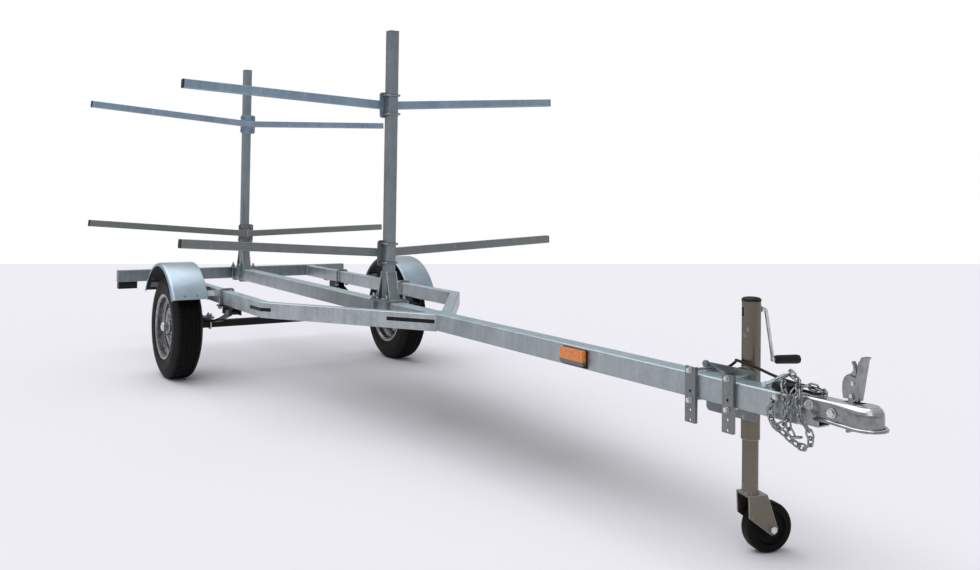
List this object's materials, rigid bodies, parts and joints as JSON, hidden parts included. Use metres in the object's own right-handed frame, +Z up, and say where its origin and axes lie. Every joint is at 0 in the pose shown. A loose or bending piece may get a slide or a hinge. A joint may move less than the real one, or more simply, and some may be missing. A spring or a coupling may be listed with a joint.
{
  "type": "kayak trailer",
  "caption": "Small galvanised trailer with a long central beam, masts carrying V-shaped arms for kayaks, leaf-sprung axle, jockey wheel and ball coupling.",
  "frame": {"origin": "ground under the middle of the trailer's bounding box", "axes": "+X forward to the coupling, +Y to the trailer's left, +Z up"},
  "size_m": [5.1, 2.0241, 1.8843],
  "materials": {
    "galvanised": "hot-dip galvanised, satin, mottled",
    "bright_zinc": "bright zinc plate",
    "black_steel": "black paint, satin",
    "cast_hub": "turned casting",
    "silver_paint": "silver paint, gloss",
    "tyre": "rubber with tread grooves",
    "solid_rubber": "solid rubber",
    "black_plastic": "black moulded plastic",
    "cable": "black sheath",
    "red_lens": "ribbed red lens",
    "amber_lens": "ribbed amber lens",
    "tube_steel": "dull zinc plate",
    "bearing_steel": "ground steel"
  },
  "bodies": {
    "frame": {"spine_beam": "galvanised", "rear_crossbar": "galvanised", "side_rail_right": "galvanised", "side_rail_left": "galvanised", "front_mast": "galvanised", "rear_mast": "galvanised", "mast_caps": "black_plastic", "mast_u_bolts": "bright_zinc", "front_upper_arm": "galvanised", "front_lower_arm": "galvanised", "rear_upper_arm": "galvanised", "rear_lower_arm": "galvanised", "arm_u_bolts": "bright_zinc", "arm_end_caps": "black_plastic", "spring_hangers": "black_steel", "hanger_bolts": "bright_zinc", "mudguard_right": "galvanised", "mudguard_left": "galvanised", "mudguard_stays": "galvanised", "lamp_housings": "black_plastic", "tail_lamp_lenses": "red_lens", "marker_lenses": "amber_lens", "coupling_body": "bright_zinc", "coupling_bolts": "bright_zinc", "safety_chain": "bright_zinc", "chain_shackle": "bright_zinc", "jockey_mount_plate": "galvanised", "jockey_clamp_straps": "galvanised", "jockey_clamp_bolts": "bright_zinc", "wiring_lead": "cable", "wiring_plug": "black_plastic"},
    "axle": {"axle_beam": "black_steel", "leaf_springs": "black_steel", "spring_plates": "galvanised", "axle_bolts": "bright_zinc"},
    "wheel_right": {"hub_right": "cast_hub", "rim_right": "silver_paint", "tyre_right": "tyre", "wheel_nuts_right": "bright_zinc", "hub_cap_right": "bright_zinc", "wheel_bearings_right": "bearing_steel"},
    "wheel_left": {"hub_left": "cast_hub", "rim_left": "silver_paint", "tyre_left": "tyre", "wheel_nuts_left": "bright_zinc", "hub_cap_left": "bright_zinc", "wheel_bearings_left": "bearing_steel"},
    "jockey_leg": {"jockey_outer_tube": "tube_steel", "jockey_cap": "black_plastic"},
    "jockey_slider": {"jockey_inner_tube": "tube_steel"},
    "jockey_lift_screw": {"jockey_screw": "bearing_steel"},
    "crank": {"jockey_crank": "bright_zinc"},
    "grip": {"crank_grip": "black_plastic"},
    "caster": {"jockey_fork": "tube_steel", "jockey_wheel_bolt": "bright_zinc"},
    "caster_wheel": {"jockey_wheel": "solid_rubber"},
    "plunger": {"lock_plunger": "bright_zinc"},
    "latch": {"latch_handle": "bright_zinc"},
    "trigger": {"latch_trigger": "bright_zinc"},
    "jaw": {"ball_jaw": "bright_zinc"}
  },
  "joints": [
    {"name": "suspension_travel", "type": "slide", "parent": "frame", "child": "axle", "axis": [0, 0, 1], "range_m": [-0.03, 0.045], "stiffness_N_per_m": 60000, "springref_m": -0.0198, "deforming": ["leaf_springs"]},
    {"name": "wheel_right_spin", "type": "hinge", "parent": "axle", "child": "wheel_right", "pos_m": [-1.42, -0.692, 0.289], "axis": [0, 1, 0], "continuous": true},
    {"name": "wheel_left_spin", "type": "hinge", "parent": "axle", "child": "wheel_left", "pos_m": [-1.42, 0.692, 0.289], "axis": [0, 1, 0], "continuous": true},
    {"name": "jockey_swing", "type": "hinge", "parent": "frame", "child": "jockey_leg", "pos_m": [2.049, 0.045, 0.486], "axis": [0, -1, 0], "range_deg": [-90, 0]},
    {"name": "jockey_height", "type": "slide", "parent": "jockey_leg", "child": "jockey_slider", "axis": [0, 0, 1], "range_m": [-0.04, 0.135]},
    {"name": "lift_screw_turn", "type": "hinge", "parent": "jockey_leg", "child": "jockey_lift_screw", "pos_m": [2.049, 0.0788, 0.7], "axis": [0, 0, 1], "range_deg": [-1805, 6080]},
    {"name": "crank_turn", "type": "hinge", "parent": "jockey_leg", "child": "crank", "pos_m": [2.049, 0.0788, 0.722], "axis": [0.3907, 0.9205, 0], "range_deg": [-1805, 6080]},
    {"name": "grip_spin", "type": "hinge", "parent": "crank", "child": "grip", "pos_m": [2.07637, 0.14327, 0.56994], "axis": [0.3907, 0.9205, 0], "continuous": true},
    {"name": "caster_swivel", "type": "hinge", "parent": "jockey_slider", "child": "caster", "pos_m": [2.049, 0.0788, 0.18], "axis": [0, 0, 1], "continuous": true},
    {"name": "caster_wheel_spin", "type": "hinge", "parent": "caster", "child": "caster_wheel", "pos_m": [2.06523, 0.13257, 0.075], "axis": [0.9573, -0.289, 0], "continuous": true},
    {"name": "plunger_pull", "type": "slide", "parent": "frame", "child": "plunger", "axis": [0, -1, 0], "range_m": [-0.005, 0.003]},
    {"name": "latch_lift", "type": "hinge", "parent": "frame", "child": "latch", "pos_m": [2.46, 0, 0.549], "axis": [0, 1, 0], "range_deg": [-30, 0], "stiffness_Nm_per_rad": 2, "springref_deg": 14.32},
    {"name": "trigger_pull", "type": "hinge", "parent": "latch", "child": "trigger", "pos_m": [2.463, 0, 0.581], "axis": [0, 1, 0], "range_deg": [0, 10], "stiffness_Nm_per_rad": 0.5, "springref_deg": -11.46},
    {"name": "jaw_open", "type": "hinge", "parent": "frame", "child": "jaw", "pos_m": [2.418, 0, 0.499], "axis": [0, 1, 0], "range_deg": [0, 18]}
  ],
  "couplings": [
    {"joint": "jockey_height", "follows": "crank_turn", "m_per_rad": 0.0012732},
    {"joint": "lift_screw_turn", "follows": "crank_turn", "ratio": 1},
    {"joint": "jaw_open", "follows": "latch_lift", "ratio": -0.6}
  ]
}
